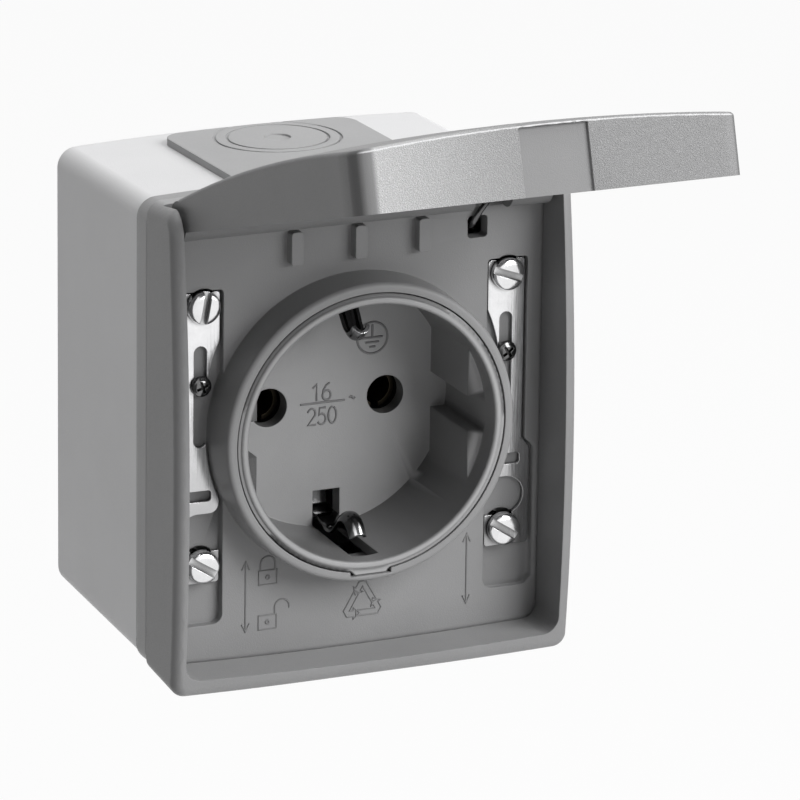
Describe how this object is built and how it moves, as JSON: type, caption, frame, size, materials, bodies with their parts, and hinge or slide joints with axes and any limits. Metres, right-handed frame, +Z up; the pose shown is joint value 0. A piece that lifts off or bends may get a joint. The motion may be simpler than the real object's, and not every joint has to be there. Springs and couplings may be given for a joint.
{
  "type": "surface mounted outdoor socket",
  "caption": "Surface mounted weatherproof socket outlet with a deep back box, a raised round plug recess with side earth clips and a hinged grained lid, shown open.",
  "frame": {"origin": "centre of the box's back face, which lies on the wall", "axes": "+X to the right seen from the front, +Y into the wall, +Z up"},
  "size_m": [0.0642, 0.1121, 0.1003],
  "materials": {
    "grey_shell": "matt",
    "grey_lid": "grained",
    "grey_insert": "satin",
    "soft_grey": "matt",
    "seal_rubber": "matt",
    "plated_steel": "bright",
    "spring_steel": "satin",
    "plated_brass": "bright",
    "bare_brass": "satin",
    "carrier_plastic": "matt"
  },
  "bodies": {
    "housing": {"back_box": "grey_shell", "cable_entry": "soft_grey", "box_seal": "seal_rubber", "cover_plate": "grey_shell", "lid_frame": "grey_shell", "hinge_pin": "plated_steel", "lid_spring": "spring_steel", "cover_screws": "plated_steel", "guide_screws": "plated_steel", "insert_screws": "plated_steel", "socket_insert": "grey_insert", "earth_strap": "plated_brass", "contact_carrier": "carrier_plastic", "line_contact": "bare_brass", "neutral_contact": "bare_brass", "terminals": "plated_brass", "terminal_screws": "plated_steel"},
    "lid": {"lid": "grey_lid"},
    "left_slider": {"left_lock_slider": "plated_steel"},
    "right_slider": {"right_lock_slider": "plated_steel"}
  },
  "joints": [
    {"name": "lid_hinge", "type": "hinge", "parent": "housing", "child": "lid", "pos_m": [0, -0.0457, 0.0352], "axis": [1, 0, 0], "range_deg": [0, 107], "deforming": ["lid_spring"]},
    {"name": "left_slider_slide", "type": "slide", "parent": "housing", "child": "left_slider", "axis": [0, 0, -1], "range_m": [0, 0.005]},
    {"name": "right_slider_slide", "type": "slide", "parent": "housing", "child": "right_slider", "axis": [0, 0, -1], "range_m": [0, 0.005]}
  ]
}
